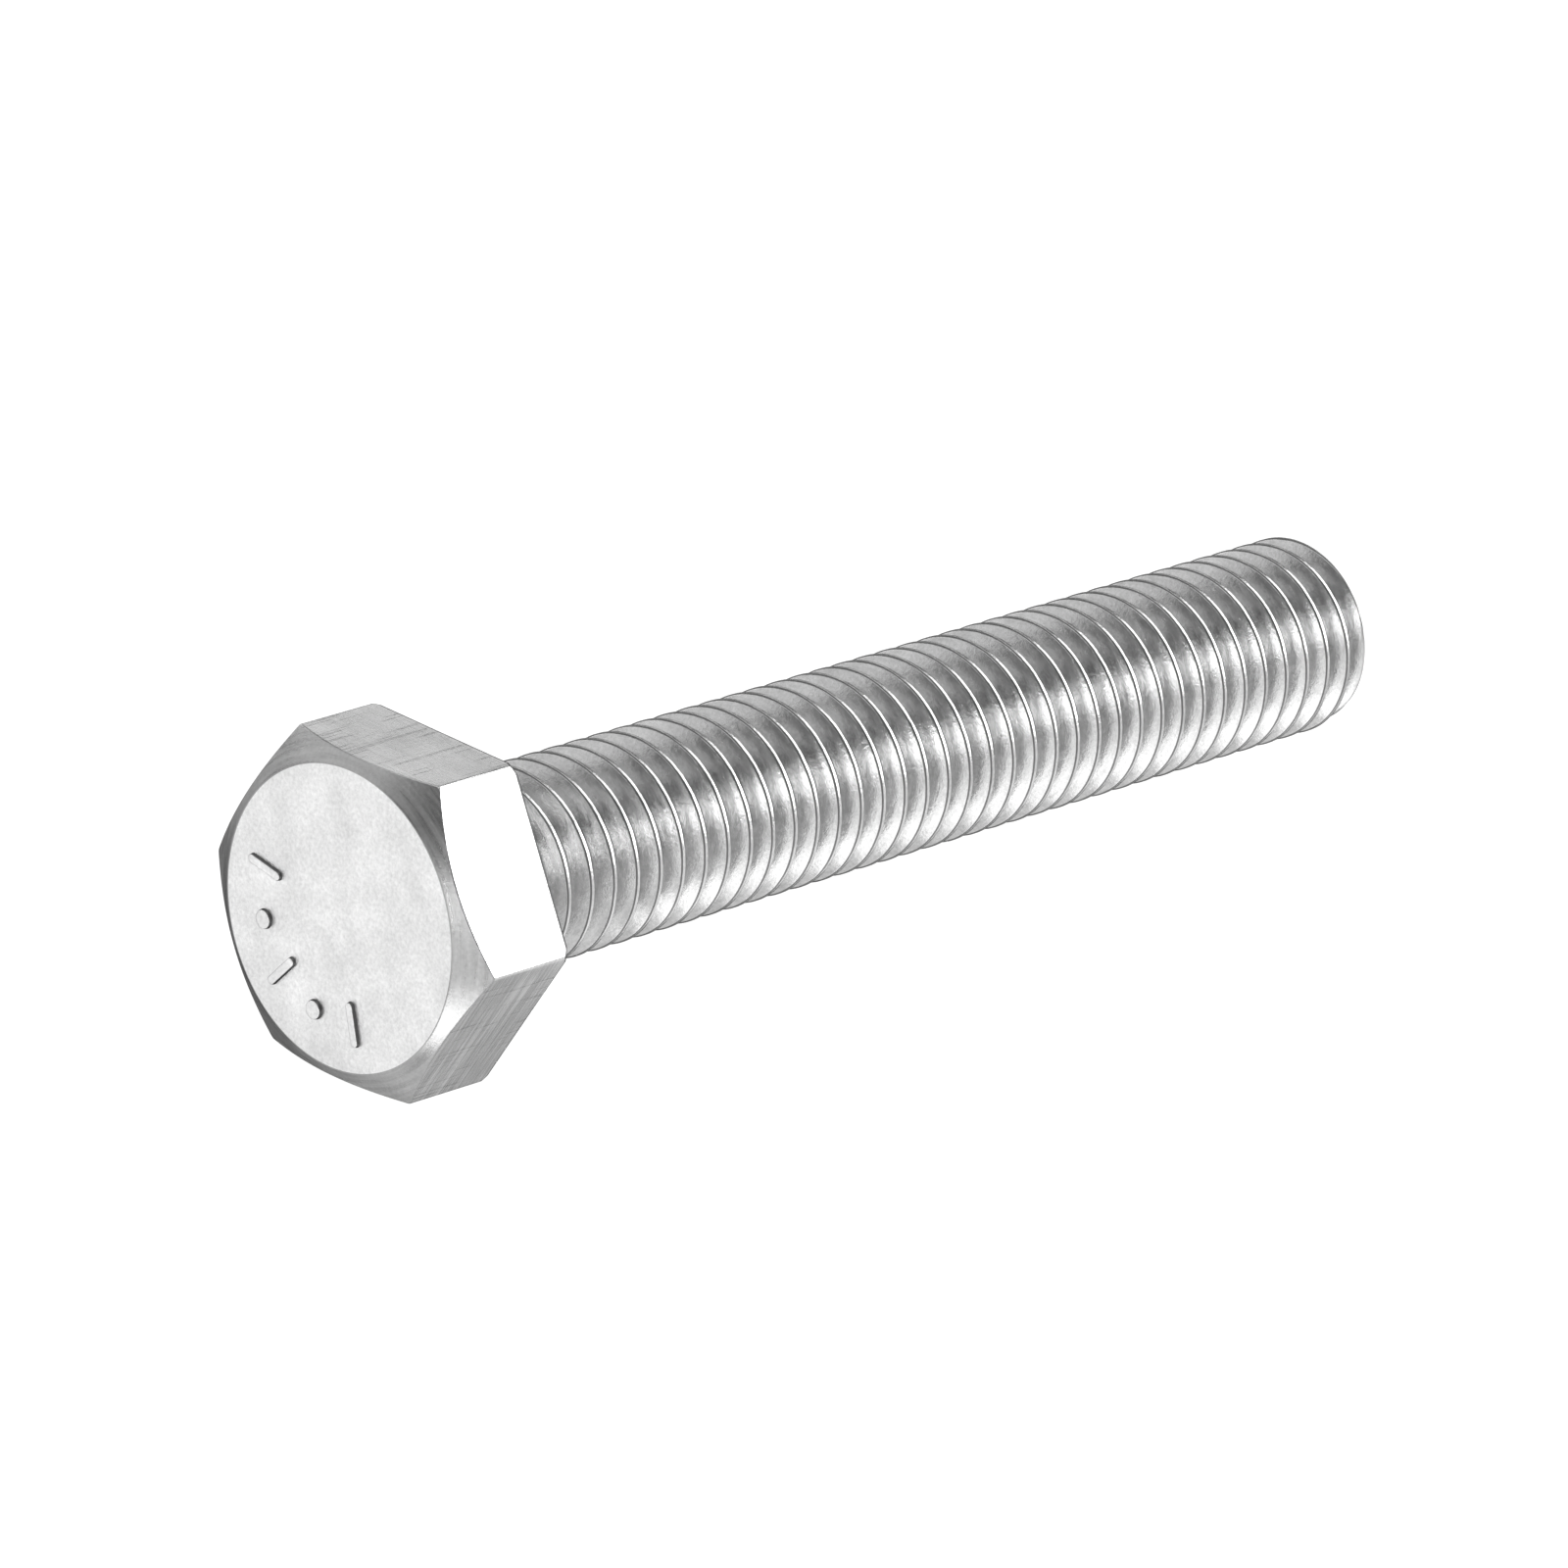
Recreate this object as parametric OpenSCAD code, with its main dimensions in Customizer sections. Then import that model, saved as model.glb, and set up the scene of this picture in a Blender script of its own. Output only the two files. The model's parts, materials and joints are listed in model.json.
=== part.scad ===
// Hex-head bolt, fully threaded (set-screw style), metric coarse thread.
// Millimetres. The bolt lies along X: the head is at -X and the threaded end at +X.
// Origin: centre of the bearing face under the head. One hexagon flat faces +Z.

/* [Thread] */
// Nominal thread diameter, over the crests
thread_d = 8; // [6:0.5:10]
// Thread pitch, crest to crest along the axis
pitch = 1.25; // [1:0.25:1.75]
// Nominal length, from the bearing face to the tip
bolt_length = 50; // [20:1:60]
// Length of the bevel at the tip, along the axis
tip_bevel = 0.9; // [0.5:0.1:1.5]
// Diameter of the flat end face at the tip
tip_d = 6.1; // [3:0.1:8]

/* [Neck] */
// Length of plain neck between the bearing face and the first thread turn
neck_length = 0.7; // [0.4:0.1:3]
// Largest diameter of the cone that joins the neck to the bearing face
transition_d = 8.9; // [7:0.1:11]
// Height of that cone, along the axis
transition_h = 0.6; // [0.3:0.1:1]

/* [Head] */
// Width across flats of the hexagon, the spanner size
across_flats = 13; // [12:0.5:17]
// Head height, from the bearing face to the end face
head_height = 5.3; // [4:0.1:8]
// Diameter of the flat circle left on the end face by the corner bevel
face_circle_d = 12.1; // [10:0.1:16]
// Angle of the corner bevel, measured from the end face
bevel_angle = 31; // [15:1:40]
// Diameter of the raised bearing washer face under the head
washer_face_d = 11.8; // [11.2:0.1:16]
// Height of the bearing washer face
washer_face_h = 0.3; // [0.15:0.05:0.6]
// How far the underside corners are cut back, both inwards and along the axis
corner_break = 0.3; // [0.1:0.1:0.6]

/* [Raised marks] */
// Height of the raised marks above the end face
mark_height = 0.15; // [0.05:0.01:0.3]
// Radius of the arc the marks stand on
mark_arc_r = 4.1; // [2:0.1:4.2]
// Length of a bar mark, along the radius
bar_length = 1.8; // [0.5:0.1:2]
// Width of a bar mark
bar_width = 0.4; // [0.2:0.05:0.5]
// Diameter of a dot mark
dot_d = 0.8; // [0.3:0.05:1.2]

/* [Hidden] */
steel = [0.80, 0.80, 0.81];
curve_segments = 96;

// Thread form, from the basic ISO metric triangle
thread_r = thread_d / 2;
root_r = thread_r - 0.6134 * pitch;
neck_r = thread_r - 0.3248 * pitch;
crest_width = pitch / 8;
root_width = pitch / 4;
flank_width = (pitch - crest_width - root_width) / 2;

// Facets of the helical surface: columns round the shank and rows along one pitch
shank_start = -0.6;
rows_per_pitch = 4;
most_columns = 30;
facet_budget = 11000;
facets_per_column = 2 * rows_per_pitch * (bolt_length - shank_start) / pitch;
columns = min(most_columns, floor(facet_budget / facets_per_column));
row_offset = [0, crest_width, crest_width + flank_width, crest_width + flank_width + root_width];
row_r = [thread_r, thread_r, root_r, root_r];
runout_length = 1.1 * pitch;
snap = 0.03 * pitch;
first_row = floor((shank_start - pitch) / pitch) * rows_per_pitch;
last_row = ceil((bolt_length + pitch) / pitch) * rows_per_pitch;
tip_r = min(tip_d / 2, root_r);
cone_d = max(transition_d, thread_d);

// Hexagon and its bevels
corner_r = across_flats / sqrt(3);
face_r = min(face_circle_d, across_flats - 0.2) / 2;
least_side_height = 0.5;
bevel_room = head_height - washer_face_h - corner_break - least_side_height;
bevel_depth = min((corner_r - face_r) * tan(bevel_angle), bevel_room);
break_r = corner_r - corner_break;
bearing_d = min(washer_face_d, across_flats - 0.5);
join = 0.3;
oversize = 1;

// Five marks spread along the arc: bar, dot, bar, dot, bar
mark_first_angle = 100;
mark_step_angle = -29.5;
mark_count = 5;

// Position along the axis of the helical line "row" where it crosses column "col"
function line_x(row, col) =
    floor(row / rows_per_pitch) * pitch
    + row_offset[row - floor(row / rows_per_pitch) * rows_per_pitch]
    + col * pitch / columns;

// The same position, held between the two ends of the shank
function held_x(row, col) =
    let (x = line_x(row, col))
    x < shank_start + snap ? shank_start : x > bolt_length - snap ? bolt_length : x;

// How fully the thread is formed at x: 0 on the neck, 1 where the run-out ends
function formed(x) = min(1, max(0, (x - neck_length) / runout_length));

// Largest radius allowed at x by the bevel at the tip
function bevel_limit(x) =
    tip_r + max(0, bolt_length - x) * (thread_r - tip_r) / tip_bevel;

// Radius of the helical line "row" at x
function line_r(row, x) =
    let (full = row_r[row - floor(row / rows_per_pitch) * rows_per_pitch])
    x >= bolt_length ? tip_r : min(neck_r + (full - neck_r) * formed(x), bevel_limit(x));

// Last row that has reached the start plane, and first row that has reached the tip plane
function start_row(col) =
    max([for (row = [first_row : first_row + 3 * rows_per_pitch])
        if (line_x(row, col) < shank_start + snap) row]);
function end_row(col) =
    min([for (row = [last_row - 3 * rows_per_pitch : last_row])
        if (line_x(row, col) > bolt_length - snap) row]);

// Rows span the same count in every column, so a point's number follows from row and column
row_span = last_row - first_row + 1;
start_rows = [for (col = [0 : columns - 1]) start_row(col)];
end_rows = [for (col = [0 : columns - 1]) end_row(col)];

// Number of the point at (row, col); column "columns" is column 0 one turn further on
function point_at(row, col) =
    col == columns
        ? point_at(row + rows_per_pitch, 0)
        : col * row_span + min(max(row, start_rows[col]), end_rows[col]) - first_row;

shank_points = [
    for (col = [0 : columns - 1])
        for (row = [first_row : last_row])
            let (
                x = held_x(row, col),
                r = line_r(row, x),
                angle = 360 * col / columns
            )
            [r * cos(angle), r * sin(angle), x]
];

// Keeps a triangle only when its three corners are different points
function real_face(a, b, c) = a == b || b == c || a == c ? [] : [[a, b, c]];

shank_sides = [
    for (col = [0 : columns - 1])
        for (row = [first_row - rows_per_pitch : last_row - 1])
            let (
                a = point_at(row, col),
                b = point_at(row, col + 1),
                c = point_at(row + 1, col + 1),
                d = point_at(row + 1, col)
            )
            each concat(real_face(a, c, b), real_face(a, d, c))
];
start_cap = [for (col = [0 : columns - 1]) point_at(start_rows[col], col)];
end_cap = [for (col = [columns - 1 : -1 : 0]) point_at(end_rows[col], col)];

// Neck, run-out, right-hand helical thread and bevelled tip, along +Z
module threaded_shank() {
    polyhedron(points = shank_points, faces = concat([start_cap, end_cap], shank_sides));
}

// Hexagon with a flat on +-X and corners on +-Y, cut by the corner bevel and the corner break
module hex_body() {
    intersection() {
        translate([0, 0, -head_height])
            linear_extrude(height = head_height - washer_face_h)
                rotate(30)
                    circle(r = corner_r, $fn = 6);
        rotate_extrude($fn = curve_segments)
            polygon([
                [0, -head_height],
                [face_r, -head_height],
                [corner_r, -head_height + bevel_depth],
                [corner_r + oversize, -head_height + bevel_depth],
                [corner_r + oversize, -washer_face_h - corner_break],
                [corner_r, -washer_face_h - corner_break],
                [break_r, -washer_face_h],
                [0, -washer_face_h]
            ]);
    }
}

// Round bearing face and the cone that leads into the neck
module bearing_side() {
    translate([0, 0, -washer_face_h - join])
        cylinder(d = bearing_d, h = washer_face_h + join, $fn = curve_segments);
    translate([0, 0, -join])
        cylinder(d = cone_d, h = join, $fn = curve_segments);
    cylinder(d1 = cone_d, d2 = 2 * neck_r - 0.3, h = transition_h, $fn = curve_segments);
}

// One short bar with round ends, lying along the radius
module bar_mark() {
    half = (bar_length - bar_width) / 2;
    translate([mark_arc_r - half, -bar_width / 2, 0])
        cube([2 * half, bar_width, mark_height + join]);
    for (side = [-1, 1])
        translate([mark_arc_r + side * half, 0, 0])
            cylinder(d = bar_width, h = mark_height + join, $fn = 48);
}

// One round dot
module dot_mark() {
    translate([mark_arc_r, 0, 0])
        cylinder(d = dot_d, h = mark_height + join, $fn = 48);
}

// The row of raised marks on the end face
module raised_marks() {
    for (i = [0 : mark_count - 1])
        rotate(mark_first_angle + i * mark_step_angle)
            translate([0, 0, -head_height - mark_height])
                if (i % 2 == 0) {
                    bar_mark();
                } else {
                    dot_mark();
                }
}

// The complete bolt: one forged and thread-rolled piece of steel
module hex_bolt() {
    color(steel)
        rotate([0, 90, 0])
            union() {
                hex_body();
                bearing_side();
                raised_marks();
                threaded_shank();
            }
}

hex_bolt();
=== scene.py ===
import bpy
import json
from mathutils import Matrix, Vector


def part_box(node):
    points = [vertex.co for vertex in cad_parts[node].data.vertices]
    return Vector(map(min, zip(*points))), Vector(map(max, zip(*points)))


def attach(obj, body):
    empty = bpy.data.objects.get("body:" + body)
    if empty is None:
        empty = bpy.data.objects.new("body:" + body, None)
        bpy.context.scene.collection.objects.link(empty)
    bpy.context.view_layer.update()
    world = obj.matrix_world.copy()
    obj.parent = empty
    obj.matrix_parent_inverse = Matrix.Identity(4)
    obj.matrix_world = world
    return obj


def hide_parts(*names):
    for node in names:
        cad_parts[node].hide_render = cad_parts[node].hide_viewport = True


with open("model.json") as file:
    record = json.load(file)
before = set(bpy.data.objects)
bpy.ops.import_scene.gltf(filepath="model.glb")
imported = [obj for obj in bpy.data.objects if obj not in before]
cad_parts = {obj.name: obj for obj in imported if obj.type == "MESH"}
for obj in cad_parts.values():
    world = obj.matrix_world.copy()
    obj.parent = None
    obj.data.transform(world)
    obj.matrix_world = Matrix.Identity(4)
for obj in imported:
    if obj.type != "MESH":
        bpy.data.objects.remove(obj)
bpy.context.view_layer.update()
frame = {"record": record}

import json
import math

import bmesh
import bpy
import numpy as np
from mathutils import Matrix, Vector

MM = 0.001
scene = bpy.context.scene

# ---------------------------------------------------------------- dimensions
# Millimetres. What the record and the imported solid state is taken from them.
mounts = {mount["name"]: mount for mount in frame["record"]["mounts"]}
low, high = (np.array(corner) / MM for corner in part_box("hex_bolt"))

LENGTH = high[0]
THREAD_R = mounts["thread"]["dims"]["r_mm"]
HALF_FLATS = mounts["spanner_flat_top"]["pos_m"][2] / MM
HEAD = -mounts["hex_drive"]["pos_m"][0] / MM
MARK = -low[0] - HEAD

# Thread, neck and tip. The two factors are the ISO depths of the root and of the pitch line.
PITCH = 1.25
ROOT_R = THREAD_R - 0.6134 * PITCH
NECK_R = THREAD_R - 0.3248 * PITCH
NECK_LENGTH = 0.7
RUNOUT = 1.1 * PITCH
TIP_R = 3.05
TIP_BEVEL = 0.9

# Head: the corner bevel's slope, the washer face, the cone under it and the underside edges
FACE_R = 6.05
BEVEL_SLOPE = math.tan(math.radians(31))
WASHER_R = 5.9
WASHER = 0.3
TRANSITION_R = 4.45
TRANSITION = 0.55
CORNER_BREAK = 0.3
EDGE_BREAK = 0.15

# Material of each part of the surface, by its place in the mesh's list of materials
# The wall steel is a dark copy of the steel that paints shade into the thread seam, the mark walls and
# the underside edge
FACE, FLAT, THREAD, SHADE_WALL, SHADED_BEVEL = range(5)

# ---------------------------------------------------------------- columns round the axis
# The angle runs from +Y towards +Z. Columns crowd together at the hexagon's corners.
COLUMNS = 360
CROWDING = 0.6
cols = np.arange(COLUMNS)
turn = cols * 2 * math.pi / COLUMNS
angle = turn - CROWDING / 6 * np.sin(6 * turn)
ring_y, ring_z = np.cos(angle), np.sin(angle)

# Radius of the hexagon in each column, with very slightly rounded corners
CORNER_SHARPNESS = 200
flat_normals = np.radians(30 + 60 * np.arange(6))
facing = np.maximum(np.cos(angle[:, None] - flat_normals[None, :]), 0)
hex_r = HALF_FLATS / (facing ** CORNER_SHARPNESS).sum(1) ** (1 / CORNER_SHARPNESS)


def smooth_max(a, b, blend):
    share = np.clip(0.5 + 0.5 * (a - b) / blend, 0, 1)
    return b + (a - b) * share + blend * share * (1 - share)


def smooth_min(a, b, blend):
    return -smooth_max(-a, -b, blend)


# ---------------------------------------------------------------- head outline
ARC_POINTS = 5
LONGEST_CUT = 0.4
STRAIGHT_ENDS = [0.02, 0.98]


def at(x, r):
    """One (x, r) for each column."""
    return np.stack([np.broadcast_to(x, (COLUMNS,)), np.broadcast_to(r, (COLUMNS,))], 1)


def outline(corners, radii, steps):
    """Rows of (x, r) along a line of straights with rounded corners, and the span each row starts.

    radii are the rounding at each corner and steps the rows along each straight. Straight i is
    span i, and the arc after it is span i + 0.5."""
    arc_start, arc_end, arcs = {}, {}, {}
    for i in range(1, len(corners) - 1):
        before, here, after = corners[i - 1:i + 2]
        length_in = np.linalg.norm(here - before, axis=1, keepdims=True)
        length_out = np.linalg.norm(after - here, axis=1, keepdims=True)
        way_in, way_out = (here - before) / length_in, (after - here) / length_out
        bend = np.arccos(np.clip((way_in * way_out).sum(1, keepdims=True), -1, 1))
        most = LONGEST_CUT * np.minimum(length_in, length_out)
        cut = np.minimum(radii[i] * np.tan(bend / 2), most)
        arc_start[i], arc_end[i] = here - way_in * cut, here + way_out * cut
        t = np.linspace(0, 1, ARC_POINTS)[:, None, None]
        arcs[i] = (1 - t) ** 2 * arc_start[i] + 2 * t * (1 - t) * here + t ** 2 * arc_end[i]
    rows, spans = [], []
    for i in range(len(corners) - 1):
        start, end = arc_end.get(i, corners[i]), arc_start.get(i + 1, corners[i + 1])
        shares = np.unique(np.concatenate([np.linspace(0, 1, steps[i] + 1), STRAIGHT_ENDS]))
        for share in shares[:-1] if i + 1 in arcs else shares:
            rows.append(start + (end - start) * share)
            spans.append(i)
        if i + 1 in arcs:
            rows.extend(arcs[i + 1][:-1])
            spans.extend([i + 0.5] * (ARC_POINTS - 1))
    return np.array(rows), spans


AXIS_GAP = 0.04
corner_r = 2 * HALF_FLATS / math.sqrt(3)
break_r = np.minimum(corner_r - CORNER_BREAK, hex_r - EDGE_BREAK)
head_corners = [
    at(-HEAD, AXIS_GAP),
    at(-HEAD, FACE_R),
    at(-HEAD + (hex_r - FACE_R) * BEVEL_SLOPE, hex_r),
    at(-WASHER - (hex_r - break_r), hex_r),
    at(-WASHER, break_r),
    at(-WASHER, WASHER_R),
    at(0.0, WASHER_R),
    at(0.0, TRANSITION_R),
    at(TRANSITION, NECK_R),
]
head_radii = [0, 0.14, 0.08, 0.20, 0.06, 0.12, 0.10, 0.25, 0]
head_steps = [12, 8, 8, 4, 6, 3, 6, 6]
head_rows, head_spans = outline(head_corners, head_radii, head_steps)
# The end face, the corner bevel with its two edges, and the broken edge of the underside; the darker
# steels on the bevel and on that edge are painted shade
SPAN_REGIONS = {0: FACE, 0.5: SHADED_BEVEL, 1: SHADED_BEVEL, 1.5: SHADED_BEVEL, 2.5: SHADE_WALL, 3: SHADED_BEVEL}

# ---------------------------------------------------------------- thread
# A fine seam runs beside the crest on the head side, where rolling folds the steel over. The seam's
# place and half width are shares of the pitch, and so are the rows, measured from the crest.
SEAM_AT, SEAM_HALF, SEAM_DEPTH = -0.068, 0.016, 0.045
ROOT_BLEND, CREST_BLEND, TIP_BLEND = 0.06, 0.015, 0.05
tipward = [0.0, 0.035, 0.055, 0.07, 0.10, 0.17, 0.24, 0.31, 0.36, 0.40, 0.44, 0.5]
headward = [0.44, 0.40, 0.36, 0.31, 0.24, 0.17, 0.12, 0.095]
seam = [SEAM_AT + SEAM_HALF * k for k in (-1.2, -0.6, 0, 0.6, 1.2)]
crest_edge = 0.025
phase = np.array(tipward + [1 - p for p in headward] + [1 + p for p in seam] + [1 - crest_edge])
PER_PITCH = len(phase)
first_seam_row = len(tipward) + len(headward)
SEAM_ROWS = range(first_seam_row, first_seam_row + len(seam) - 1)

# Radius along one pitch: the ISO triangle with a rounded root and crest, less the seam
signed = np.where(phase > 0.5, phase - 1, phase)
flank = THREAD_R - (np.abs(signed) * PITCH - PITCH / 16) * math.sqrt(3)
form = smooth_min(smooth_max(flank, ROOT_R, ROOT_BLEND), THREAD_R, CREST_BLEND)
form = form - SEAM_DEPTH * np.clip(1 - np.abs(signed - SEAM_AT) / SEAM_HALF, 0, 1)

# Helical rows, with two spare turns before the bearing face and some past the tip
first_turn = -2
turn_count = int(math.ceil(LENGTH / PITCH)) + 2 - first_turn
row_x = np.concatenate([(first_turn + n + phase) * PITCH for n in range(turn_count)])
ROWS = len(row_x)
line_x = row_x[:, None] + PITCH * angle[None, :] / (2 * math.pi)

# Small waves and nicks along the crest, fading out down the flanks. Faster waves are lower.
NICK_SIDE, NICK_HEIGHT, NICK_REACH = 0.017, 0.008, 0.12
WAVES_PER_TURN = (7.3, 16.1, 33.7, 58.9, 91.3)
FULL_HEIGHT_RATE = 7
WAVE_SIZE = 2.2
rng = np.random.default_rng(8)
crest_number = np.concatenate([n + (phase > 0.5) for n in range(turn_count)])
unwound = crest_number[:, None] * 2 * math.pi + angle[None, :]
wave = np.zeros_like(unwound)
for rate in WAVES_PER_TURN:
    wave += np.sin(unwound * rate + rng.uniform(0, 6)) / math.sqrt(rate / FULL_HEIGHT_RATE)
wave /= WAVE_SIZE
crest_share = np.clip(1 - np.abs(np.tile(signed, turn_count)) / NICK_REACH, 0, 1)[:, None]
line_x = line_x + NICK_SIDE * wave * crest_share

# The thread grows out of the neck over the run-out, and the bevel cuts it off at the tip
formed = np.clip((line_x - NECK_LENGTH) / RUNOUT, 0, 1)
formed = formed * formed * (3 - 2 * formed)
full_r = np.tile(form, turn_count)[:, None] - NICK_HEIGHT * np.abs(wave) * crest_share
bevel_r = TIP_R + np.maximum(LENGTH - line_x, 0) * (THREAD_R - TIP_R) / TIP_BEVEL
line_r = smooth_min(NECK_R + (full_r - NECK_R) * formed, bevel_r, TIP_BLEND)

# In each column the rows run from the last one before the cone's end to the first one past the
# tip, and both are moved onto those ends. A row nearer than SNAP to an end gives way to it.
SNAP = 0.02
rows = np.arange(ROWS)[:, None]
start_row = (line_x < TRANSITION + SNAP).sum(0) - 1
end_row = ROWS - (line_x > LENGTH - SNAP).sum(0)
used = (rows >= start_row) & (rows <= end_row)
line_x[start_row, cols], line_r[start_row, cols] = TRANSITION, NECK_R
line_x[end_row, cols], line_r[end_row, cols] = LENGTH, TIP_R

# ---------------------------------------------------------------- one closed surface
points, faces, regions = [], [], []


def add(x, y, z):
    """Add points and return the number of the first one."""
    first = sum(len(batch) for batch in points)
    points.append(np.stack([x, y, z], -1).reshape(-1, 3))
    return first


def add_faces(a, b, c, d, region):
    """Quads through four lists of point numbers, without the corners that fall together."""
    for quad in zip(a, b, c, d):
        corners = [int(p) for k, p in enumerate(quad) if p != quad[k - 1]]
        if len(corners) > 2:
            faces.append(corners)
            regions.append(region)


def join(ring, next_ring, region):
    add_faces(ring, np.roll(ring, -1), np.roll(next_ring, -1), next_ring, region)


# Head, from the middle of the end face to the last row before the thread
head_x, head_r = head_rows[:-1, :, 0], head_rows[:-1, :, 1]
head_base = add(head_x, head_r * ring_y, head_r * ring_z)
head_rings = [head_base + row * COLUMNS + cols for row in range(len(head_x))]
face_centre = add(np.array([-HEAD]), np.array([0.0]), np.array([0.0]))
join(head_rings[0], np.full(COLUMNS, face_centre), FACE)
for ring, next_ring, span in zip(head_rings, head_rings[1:], head_spans):
    join(ring, next_ring, SPAN_REGIONS.get(span, FLAT))

# Thread: a row ends where the same row of the next turn starts
thread_base = add(line_x[used], (line_r * ring_y)[used], (line_r * ring_z)[used])
number = np.zeros((ROWS, COLUMNS), int)
number[used] = thread_base + np.arange(used.sum())
number = number[np.clip(rows, start_row, end_row), cols]
join(head_rings[-1], number[start_row, cols], FLAT)


def helical_row(row):
    here, next_turn = np.clip([row, row + PER_PITCH], 0, ROWS - 1)
    return np.append(number[here], number[next_turn, 0])


for row in range(-PER_PITCH, ROWS - 1):
    line, next_line = helical_row(row), helical_row(row + 1)
    # The seam rows take the dark wall steel: painted shade along the crest
    region = SHADE_WALL if row % PER_PITCH in SEAM_ROWS else THREAD
    add_faces(line[:-1], next_line[:-1], next_line[1:], line[1:], region)

# Flat end of the tip
TIP_RINGS = (2.9, 2.2, 1.4, 0.6)
ring = number[end_row, cols]
for radius in TIP_RINGS:
    next_ring = add(np.full(COLUMNS, LENGTH), radius * ring_y, radius * ring_z) + cols
    join(ring, next_ring, FLAT)
    ring = next_ring
tip_centre = add(np.array([LENGTH]), np.array([0.0]), np.array([0.0]))
join(ring, np.full(COLUMNS, tip_centre), FLAT)

# ---------------------------------------------------------------- raised marks
# Bars and dots in turn along an arc of the end face, each a small closed solid sunk into it
MARK_ARC = 4.1
BAR, BAR_WIDTH, DOT = 1.8, 0.4, 0.8
MARK_COUNT, FIRST_MARK, MARK_STEP = 5, 10, -29.5
MARK_POINTS = 48
SINK = 0.05
# Each ring's distance inside the outline, its height as a share of the mark's height, and the
# material from it to the next ring
# The side rings take the dark wall steel, painted shade round the foot of each mark
MARK_RINGS = [
    (0.0, -SINK / MARK, SHADE_WALL),
    (0.0, 0.05, SHADE_WALL),
    (0.02, 0.7, SHADE_WALL),
    (0.035, 0.92, FACE),
    (0.07, 1.0, FACE),
    (0.12, 1.0, FACE),
]


def raised_mark(turned, length, width):
    """A bar with round ends lying along the radius, or a dot where length and width are equal."""
    step = np.arange(MARK_POINTS)
    around = (step + 0.5) * 2 * math.pi / MARK_POINTS
    end_centre = MARK_ARC + np.copysign((length - width) / 2, np.cos(around))
    rings = []
    for inset, share, region in MARK_RINGS:
        out = end_centre + (width / 2 - inset) * np.cos(around)
        across = (width / 2 - inset) * np.sin(around)
        y = math.cos(turned) * out - math.sin(turned) * across
        z = math.sin(turned) * out + math.cos(turned) * across
        rings.append(add(np.full(MARK_POINTS, -HEAD - MARK * share), y, z) + step)
    for ring, next_ring, (inset, share, region) in zip(rings, rings[1:], MARK_RINGS):
        join(ring, next_ring, region)
    for cap in (rings[0], rings[-1]):
        faces.append(cap.tolist())
        regions.append(FACE)


for i in range(MARK_COUNT):
    length, width = (BAR, BAR_WIDTH) if i % 2 == 0 else (DOT, DOT)
    raised_mark(math.radians(FIRST_MARK + MARK_STEP * i), length, width)

mesh = bpy.data.meshes.new("hex_bolt_steel")
mesh.from_pydata((np.concatenate(points) * MM).tolist(), [], faces)
bm = bmesh.new()
bm.from_mesh(mesh)
bmesh.ops.recalc_face_normals(bm, faces=bm.faces)
bm.to_mesh(mesh)
bm.free()
mesh.polygons.foreach_set("use_smooth", [True] * len(mesh.polygons))
mesh.polygons.foreach_set("material_index", regions)
bolt = bpy.data.objects.new("hex_bolt_steel", mesh)
scene.collection.objects.link(bolt)

# ---------------------------------------------------------------- materials
# Most of a noise lies in NOISE_RANGE. Scratches are where their noise passes CUT_RANGE.
NOISE_RANGE = (0.3, 0.7)
CUT_RANGE = (0.58, 0.66)
CLOUD_SCALE = (420, 420, 420)
CLOUD_TONES = (0.91, 1.08)
EDGE_TINT = 0.12


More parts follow.
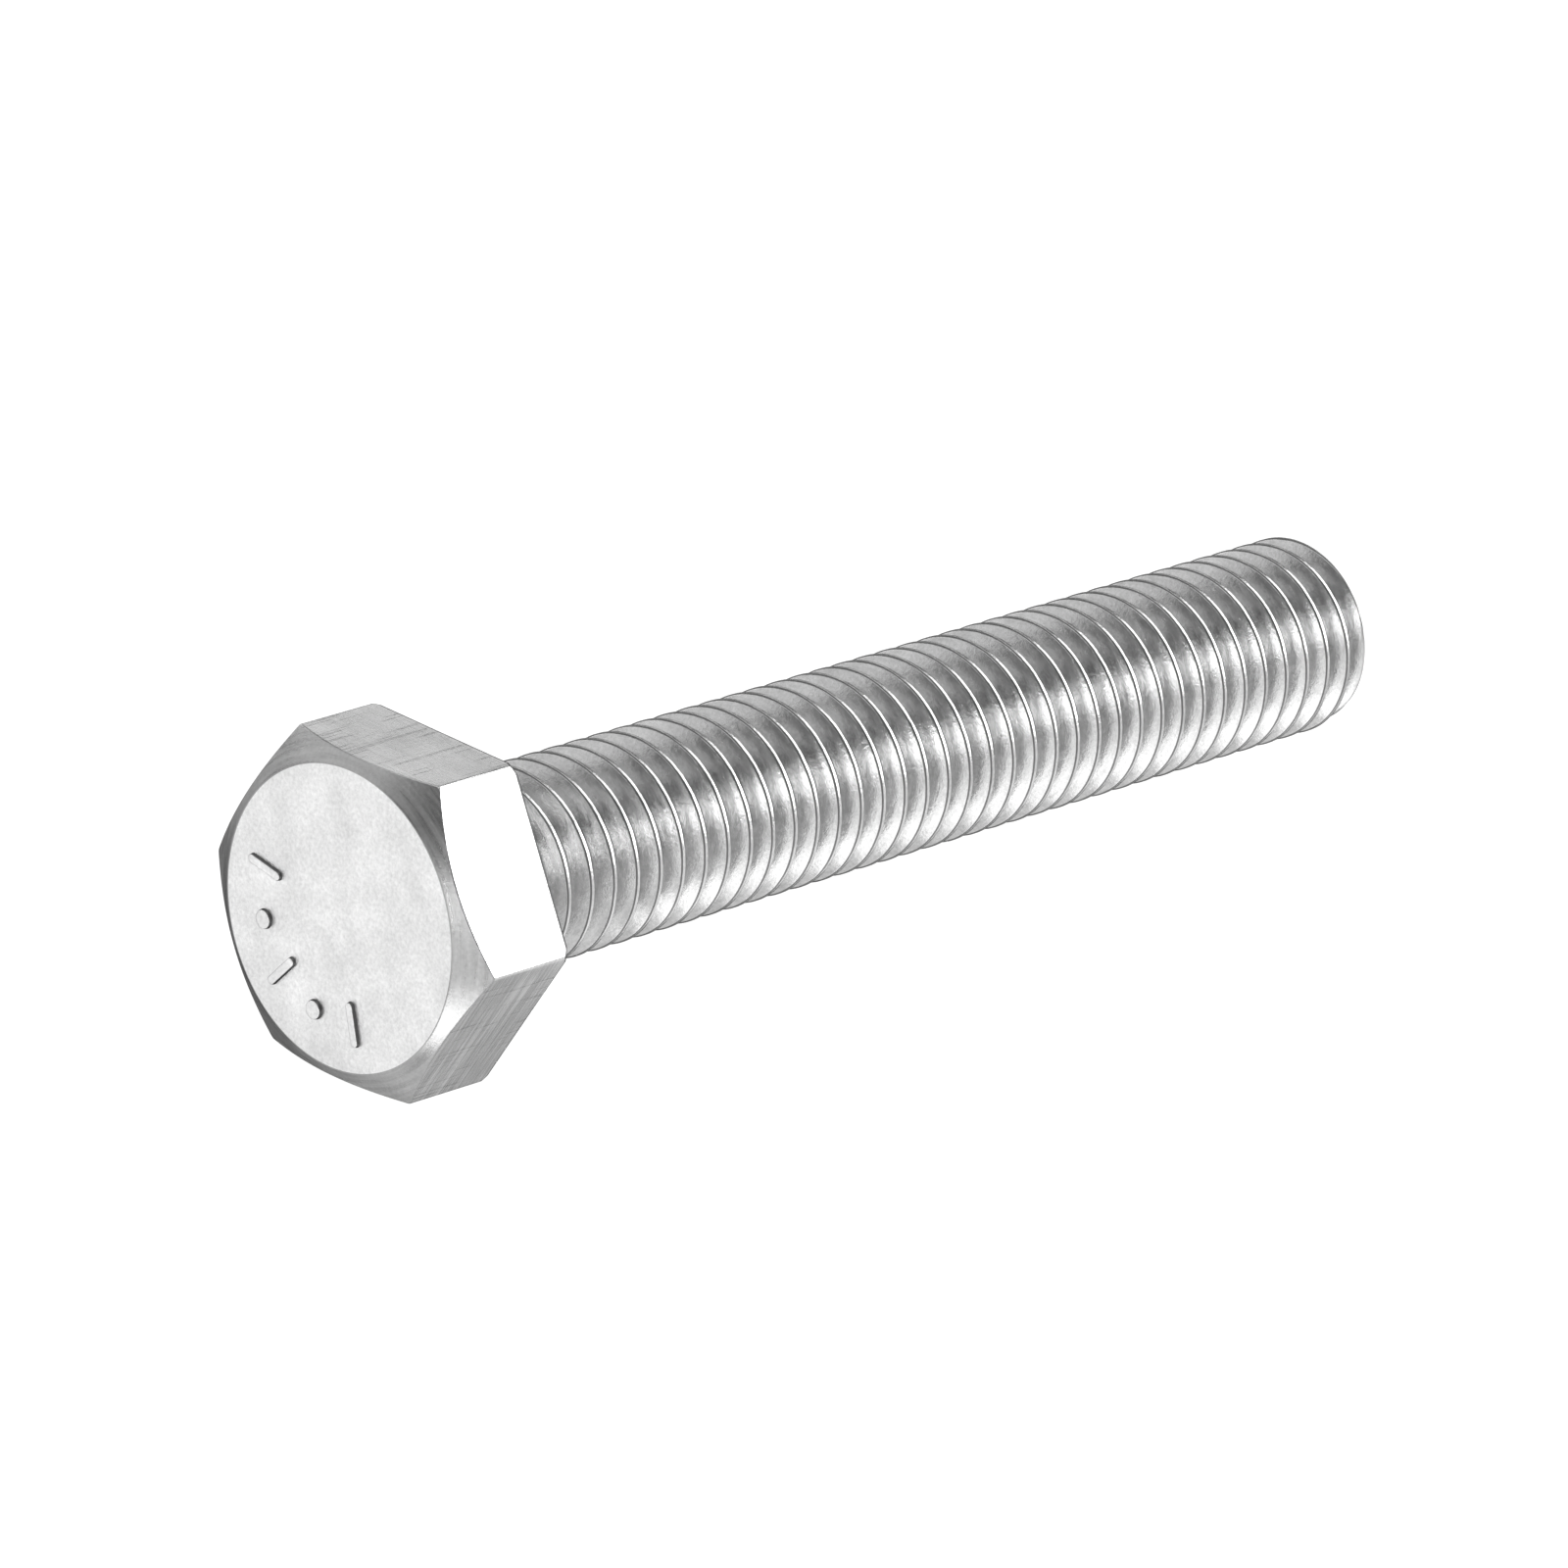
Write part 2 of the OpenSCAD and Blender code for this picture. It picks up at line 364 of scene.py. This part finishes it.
def steel(name, base, rough, rough_spread, lines, scratches, grain):
    """Satin stainless steel. lines, scratches and grain are (scale per metre, depth in mm, contrast)."""
    material = bpy.data.materials.new(name)
    material.use_nodes = True
    tree = material.node_tree
    tree.nodes.clear()
    new, link = tree.nodes.new, tree.links.new
    shader = new("ShaderNodeBsdfPrincipled")
    shader.inputs["Metallic"].default_value = 1.0
    shader.inputs["Specular Tint"].default_value = (EDGE_TINT, EDGE_TINT, EDGE_TINT, 1)
    link(shader.outputs[0], new("ShaderNodeOutputMaterial").inputs[0])
    coord = new("ShaderNodeTexCoord")

    def noise(scale, detail, roughness):
        mapping = new("ShaderNodeMapping")
        mapping.inputs["Scale"].default_value = scale
        link(coord.outputs["Object"], mapping.inputs["Vector"])
        texture = new("ShaderNodeTexNoise")
        texture.inputs["Scale"].default_value = 1.0
        texture.inputs["Detail"].default_value = detail
        texture.inputs["Roughness"].default_value = roughness
        link(mapping.outputs[0], texture.inputs["Vector"])
        return texture.outputs["Fac"]

    def remap(value, span_in, span_out):
        node = new("ShaderNodeMapRange")
        node.inputs["From Min"].default_value, node.inputs["From Max"].default_value = span_in
        node.inputs["To Min"].default_value, node.inputs["To Max"].default_value = span_out
        link(value, node.inputs["Value"])
        return node.outputs[0]

    def times(a, b):
        node = new("ShaderNodeMath")
        node.operation = "MULTIPLY"
        link(a, node.inputs[0])
        link(b, node.inputs[1])
        return node.outputs[0]

    def bump(height, depth, normal=None):
        node = new("ShaderNodeBump")
        node.inputs["Strength"].default_value = 1.0
        node.inputs["Distance"].default_value = depth * MM
        link(height, node.inputs["Height"])
        if normal is not None:
            link(normal, node.inputs["Normal"])
        return node.outputs[0]

    line_scale, line_depth, line_contrast = lines
    cut_scale, cut_depth, cut_contrast = scratches
    grain_scale, grain_depth, grain_contrast = grain
    clouds = noise(CLOUD_SCALE, 3, 0.5)
    fine_lines = noise(line_scale, 4, 0.6)
    cuts = remap(noise(cut_scale, 2, 0.5), CUT_RANGE, (1.0, 0.0))
    grains = noise((grain_scale,) * 3, 5, 0.65)

    # Colour: soft clouds, speckle, darker scratches and fine lines
    tone = remap(clouds, NOISE_RANGE, (base * CLOUD_TONES[0], base * CLOUD_TONES[1]))
    tone = times(tone, remap(grains, NOISE_RANGE, (1 - grain_contrast, 1 + grain_contrast)))
    tone = times(tone, remap(cuts, (0, 1), (1 - cut_contrast, 1.0)))
    tone = times(tone, remap(fine_lines, NOISE_RANGE, (1 - line_contrast, 1 + line_contrast)))
    colour = new("ShaderNodeCombineColor")
    for channel in range(3):
        link(tone, colour.inputs[channel])
    link(colour.outputs[0], shader.inputs["Base Color"])

    shine = remap(fine_lines, NOISE_RANGE, (rough - rough_spread, rough + rough_spread))
    link(shine, shader.inputs["Roughness"])
    relief = bump(grains, grain_depth, bump(cuts, cut_depth, bump(fine_lines, line_depth)))
    link(relief, shader.inputs["Normal"])
    return material


# Noise scales per metre along X, Y and Z: ROUND is even, ACROSS and AROUND give streaks across the
# axis, and ALONG gives streaks along it
ROUND = (900, 900, 900)
ACROSS = (9000, 260, 260)
AROUND = (9000, 1300, 1300)
ALONG = (260, 5200, 5200)
NO_SCRATCHES = (ALONG, 0.0, 0.0)

# In the order of FACE, FLAT, THREAD, SHADE_WALL and SHADED_BEVEL
mesh.materials.append(steel(
    "steel_face", base=0.80, rough=0.34, rough_spread=0.06,
    lines=(ROUND, 0.004, 0.06), scratches=NO_SCRATCHES, grain=(6200, 0.028, 0.14)))
mesh.materials.append(steel(
    "steel_flat", base=0.59, rough=0.27, rough_spread=0.08,
    lines=(ACROSS, 0.009, 0.17), scratches=(ALONG, 0.005, 0.12), grain=(9000, 0.003, 0.05)))
mesh.materials.append(steel(
    "steel_thread", base=0.50, rough=0.20, rough_spread=0.08,
    lines=(AROUND, 0.010, 0.12), scratches=NO_SCRATCHES, grain=(6500, 0.012, 0.10)))
# Dark steel for the thread seam, the mark walls and the underside edge: painted shade
mesh.materials.append(steel(
    "steel_wall_painted_shade", base=0.16, rough=0.40, rough_spread=0.06,
    lines=(ROUND, 0.002, 0.04), scratches=NO_SCRATCHES, grain=(9000, 0.010, 0.10)))
# A darker copy of the flat steel on the corner bevel and the underside break: painted shade
mesh.materials.append(steel(
    "steel_bevel_painted_shade", base=0.38, rough=0.30, rough_spread=0.08,
    lines=(ACROSS, 0.006, 0.16), scratches=NO_SCRATCHES, grain=(7000, 0.010, 0.10)))

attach(bolt, "root")
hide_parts("hex_bolt")

# ---------------------------------------------------------------- floor
# A pale floor, in metres, with a soft glow of its own: it shows white and takes no dark shadow
FLOOR_HALF = 3.0
FLOOR_GAP = 0.00001
floor_z = -HALF_FLATS * MM - FLOOR_GAP
floor_mesh = bpy.data.meshes.new("floor")
floor_corners = [(-1, -1), (1, -1), (1, 1), (-1, 1)]
floor_mesh.from_pydata(
    [(x * FLOOR_HALF, y * FLOOR_HALF, floor_z) for x, y in floor_corners], [], [(0, 1, 2, 3)])
floor = bpy.data.objects.new("floor", floor_mesh)
scene.collection.objects.link(floor)
floor_material = bpy.data.materials.new("floor")
floor_material.use_nodes = True
floor_inputs = floor_material.node_tree.nodes["Principled BSDF"].inputs
floor_inputs["Base Color"].default_value = (0.07, 0.07, 0.07, 1)
floor_inputs["Emission Color"].default_value = (1, 1, 1, 1)
floor_inputs["Emission Strength"].default_value = 0.98
floor_inputs["Roughness"].default_value = 0.9
floor_mesh.materials.append(floor_material)

# ---------------------------------------------------------------- light
world = bpy.data.worlds.new("studio")
scene.world = world
world.use_nodes = True
background = world.node_tree.nodes["Background"]
background.inputs["Color"].default_value = (1, 1, 1, 1)
background.inputs["Strength"].default_value = 0.28

AIM = Vector((0.02, 0, 0))
GLOW_HEIGHT = 0.0002


def area_light(name, width, depth, radiance):
    data = bpy.data.lights.new(name, "AREA")
    data.shape = "RECTANGLE"
    data.size, data.size_y = width, depth
    data.energy = radiance * math.pi * width * depth
    light = bpy.data.objects.new(name, data)
    scene.collection.objects.link(light)
    return light


def softbox(name, direction, distance, width, depth, radiance):
    """A light that faces the bolt from this direction, in metres."""
    light = area_light(name, width, depth, radiance)
    away = Vector(direction).normalized()
    light.location = AIM + away * distance
    light.rotation_euler = (-away).to_track_quat("-Z", "Y").to_euler()


def floor_glow(name, x, y, width, depth, radiance):
    """A light that lies just above the floor and faces up, in metres."""
    light = area_light(name, width, depth, radiance)
    light.location = (x, y, -HALF_FLATS * MM + GLOW_HEIGHT)
    light.rotation_euler = (math.pi, 0, 0)


softbox("key_right", (0.69, -0.63, 0.35), 0.8, 0.6, 0.45, radiance=7.0)
softbox("top_right", (0.78, -0.08, 0.62), 0.9, 0.5, 0.45, radiance=4.0)
softbox("overhead", (-0.1, 0.1, 1.0), 1.0, 1.3, 1.1, radiance=1.3)
softbox("front", (0.15, -0.90, 0.42), 1.0, 0.7, 0.6, radiance=0.8)
softbox("back", (0.35, 0.9, 0.32), 1.1, 1.6, 0.5, radiance=1.75)
softbox("back_left", (-0.62, 0.74, 0.38), 1.1, 0.9, 0.7, radiance=0.74)
softbox("low_left", (-0.95, -0.31, 0.05), 1.0, 0.30, 0.12, radiance=7.0)
floor_glow("under_glow", 0.027, -0.0042, 0.046, 0.0032, radiance=1.1)
floor_glow("outer_glow", 0.027, -0.0087, 0.046, 0.0056, radiance=0.45)
floor_glow("left_glow", -0.0105, -0.0074, 0.006, 0.005, radiance=2.4)

# ---------------------------------------------------------------- camera
# Place in millimetres from the origin, along the picture's right and up and back from the view
AZIMUTH, ELEVATION, ROLL = math.radians(-48.35), math.radians(21.71), math.radians(5.90)
CAMERA_RIGHT, CAMERA_UP, CAMERA_BACK = 13.17, 4.0, 481.06
camera_data = bpy.data.cameras.new("camera")
camera_data.sensor_width = 36
camera_data.lens = 290.07
camera_data.clip_start, camera_data.clip_end = 0.01, 20
camera = bpy.data.objects.new("camera", camera_data)
ahead = Vector((
    -math.sin(AZIMUTH) * math.cos(ELEVATION),
    math.cos(AZIMUTH) * math.cos(ELEVATION),
    -math.sin(ELEVATION),
))
level = Vector((math.cos(AZIMUTH), math.sin(AZIMUTH), 0))
upright = level.cross(ahead)
right = level * math.cos(ROLL) + upright * math.sin(ROLL)
up = upright * math.cos(ROLL) - level * math.sin(ROLL)
place = (right * CAMERA_RIGHT + up * CAMERA_UP - ahead * CAMERA_BACK) * MM
camera.matrix_world = Matrix.Translation(place) @ Matrix((right, up, -ahead)).transposed().to_4x4()
scene.collection.objects.link(camera)
scene.camera = camera
scene.view_settings.view_transform = "Standard"
